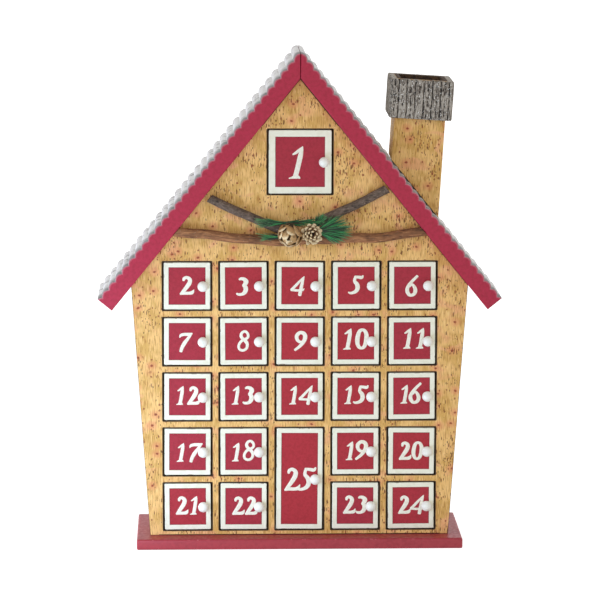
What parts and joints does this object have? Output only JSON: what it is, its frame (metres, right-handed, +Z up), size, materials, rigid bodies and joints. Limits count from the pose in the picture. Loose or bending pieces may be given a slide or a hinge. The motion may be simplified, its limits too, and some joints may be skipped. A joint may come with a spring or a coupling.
{
  "type": "wooden advent calendar house",
  "caption": "Flat-fronted wooden house on a base board, with numbered doors over box compartments, a reeded snowy roof, a leaning chimney and a garland of twigs, needles and cones.",
  "frame": {"origin": "centre of the base board's underside", "axes": "+X to the viewer's right, +Y from the doors to the back, +Z up"},
  "size_m": [0.3618, 0.1129, 0.4469],
  "materials": {
    "cork_print": "board covered in printed cork-look paper",
    "bare_board": "bare fibreboard",
    "red_paint": "satin red paint, with white snow paint on the roof's top",
    "door_paint": "white painted frame and knob round a printed red field",
    "bark": "rough dry bark",
    "twig": "dry twig with its bark",
    "needles": "artificial pine needles",
    "cone": "dry cone scales"
  },
  "bodies": {
    "house": {"base_plate": "red_paint", "front_panel": "cork_print", "back_panel": "bare_board", "left_wall": "cork_print", "right_wall": "cork_print", "floor_board": "bare_board", "shelf_1": "bare_board", "shelf_2": "bare_board", "shelf_3": "bare_board", "shelf_4_left": "bare_board", "shelf_4_right": "bare_board", "top_shelf": "bare_board", "divider_1": "bare_board", "divider_2": "bare_board", "divider_3": "bare_board", "divider_4": "bare_board", "gable_shelf": "bare_board", "gable_cheek_left": "bare_board", "gable_cheek_right": "bare_board", "roof_board_left": "red_paint", "roof_board_right": "red_paint", "chimney_front": "cork_print", "chimney_back": "cork_print", "chimney_left": "cork_print", "chimney_right": "cork_print", "chimney_cap": "bark", "lower_twig": "twig", "upper_twig_left": "twig", "upper_twig_right": "twig", "pine_sprig_left": "needles", "pine_sprig_right": "needles", "pinecone_left": "cone", "pinecone_right": "cone"},
    "door_01": {"door_01": "door_paint"},
    "door_02": {"door_02": "door_paint"},
    "door_03": {"door_03": "door_paint"},
    "door_04": {"door_04": "door_paint"},
    "door_05": {"door_05": "door_paint"},
    "door_06": {"door_06": "door_paint"},
    "door_07": {"door_07": "door_paint"},
    "door_08": {"door_08": "door_paint"},
    "door_09": {"door_09": "door_paint"},
    "door_10": {"door_10": "door_paint"},
    "door_11": {"door_11": "door_paint"},
    "door_12": {"door_12": "door_paint"},
    "door_13": {"door_13": "door_paint"},
    "door_14": {"door_14": "door_paint"},
    "door_15": {"door_15": "door_paint"},
    "door_16": {"door_16": "door_paint"},
    "door_17": {"door_17": "door_paint"},
    "door_18": {"door_18": "door_paint"},
    "door_19": {"door_19": "door_paint"},
    "door_20": {"door_20": "door_paint"},
    "door_21": {"door_21": "door_paint"},
    "door_22": {"door_22": "door_paint"},
    "door_23": {"door_23": "door_paint"},
    "door_24": {"door_24": "door_paint"},
    "door_25": {"door_25": "door_paint"}
  },
  "joints": [
    {"name": "door_01_hinge", "type": "hinge", "parent": "house", "child": "door_01", "pos_m": [-0.026, -0.032, 0.34953], "axis": [0, 0, -1], "range_deg": [0, 105]},
    {"name": "door_02_hinge", "type": "hinge", "parent": "house", "child": "door_02", "pos_m": [-0.1198, -0.032, 0.238], "axis": [0, 0, -1], "range_deg": [0, 105]},
    {"name": "door_03_hinge", "type": "hinge", "parent": "house", "child": "door_03", "pos_m": [-0.0693, -0.032, 0.238], "axis": [0, 0, -1], "range_deg": [0, 105]},
    {"name": "door_04_hinge", "type": "hinge", "parent": "house", "child": "door_04", "pos_m": [-0.0188, -0.032, 0.238], "axis": [0, 0, -1], "range_deg": [0, 105]},
    {"name": "door_05_hinge", "type": "hinge", "parent": "house", "child": "door_05", "pos_m": [0.0317, -0.032, 0.238], "axis": [0, 0, -1], "range_deg": [0, 105]},
    {"name": "door_06_hinge", "type": "hinge", "parent": "house", "child": "door_06", "pos_m": [0.0822, -0.032, 0.238], "axis": [0, 0, -1], "range_deg": [0, 105]},
    {"name": "door_07_hinge", "type": "hinge", "parent": "house", "child": "door_07", "pos_m": [-0.1198, -0.032, 0.1875], "axis": [0, 0, -1], "range_deg": [0, 105]},
    {"name": "door_08_hinge", "type": "hinge", "parent": "house", "child": "door_08", "pos_m": [-0.0693, -0.032, 0.1875], "axis": [0, 0, -1], "range_deg": [0, 105]},
    {"name": "door_09_hinge", "type": "hinge", "parent": "house", "child": "door_09", "pos_m": [-0.0188, -0.032, 0.1875], "axis": [0, 0, -1], "range_deg": [0, 105]},
    {"name": "door_10_hinge", "type": "hinge", "parent": "house", "child": "door_10", "pos_m": [0.0317, -0.032, 0.1875], "axis": [0, 0, -1], "range_deg": [0, 105]},
    {"name": "door_11_hinge", "type": "hinge", "parent": "house", "child": "door_11", "pos_m": [0.0822, -0.032, 0.1875], "axis": [0, 0, -1], "range_deg": [0, 105]},
    {"name": "door_12_hinge", "type": "hinge", "parent": "house", "child": "door_12", "pos_m": [-0.1198, -0.032, 0.137], "axis": [0, 0, -1], "range_deg": [0, 105]},
    {"name": "door_13_hinge", "type": "hinge", "parent": "house", "child": "door_13", "pos_m": [-0.0693, -0.032, 0.137], "axis": [0, 0, -1], "range_deg": [0, 105]},
    {"name": "door_14_hinge", "type": "hinge", "parent": "house", "child": "door_14", "pos_m": [-0.0188, -0.032, 0.137], "axis": [0, 0, -1], "range_deg": [0, 105]},
    {"name": "door_15_hinge", "type": "hinge", "parent": "house", "child": "door_15", "pos_m": [0.0317, -0.032, 0.137], "axis": [0, 0, -1], "range_deg": [0, 105]},
    {"name": "door_16_hinge", "type": "hinge", "parent": "house", "child": "door_16", "pos_m": [0.0822, -0.032, 0.137], "axis": [0, 0, -1], "range_deg": [0, 105]},
    {"name": "door_17_hinge", "type": "hinge", "parent": "house", "child": "door_17", "pos_m": [-0.1198, -0.032, 0.0865], "axis": [0, 0, -1], "range_deg": [0, 105]},
    {"name": "door_18_hinge", "type": "hinge", "parent": "house", "child": "door_18", "pos_m": [-0.0693, -0.032, 0.0865], "axis": [0, 0, -1], "range_deg": [0, 105]},
    {"name": "door_19_hinge", "type": "hinge", "parent": "house", "child": "door_19", "pos_m": [0.0317, -0.032, 0.0865], "axis": [0, 0, -1], "range_deg": [0, 105]},
    {"name": "door_20_hinge", "type": "hinge", "parent": "house", "child": "door_20", "pos_m": [0.0822, -0.032, 0.0865], "axis": [0, 0, -1], "range_deg": [0, 105]},
    {"name": "door_21_hinge", "type": "hinge", "parent": "house", "child": "door_21", "pos_m": [-0.1198, -0.032, 0.036], "axis": [0, 0, -1], "range_deg": [0, 105]},
    {"name": "door_22_hinge", "type": "hinge", "parent": "house", "child": "door_22", "pos_m": [-0.0693, -0.032, 0.036], "axis": [0, 0, -1], "range_deg": [0, 105]},
    {"name": "door_23_hinge", "type": "hinge", "parent": "house", "child": "door_23", "pos_m": [0.0317, -0.032, 0.036], "axis": [0, 0, -1], "range_deg": [0, 105]},
    {"name": "door_24_hinge", "type": "hinge", "parent": "house", "child": "door_24", "pos_m": [0.0822, -0.032, 0.036], "axis": [0, 0, -1], "range_deg": [0, 105]},
    {"name": "door_25_hinge", "type": "hinge", "parent": "house", "child": "door_25", "pos_m": [-0.0188, -0.032, 0.06125], "axis": [0, 0, -1], "range_deg": [0, 105]}
  ]
}
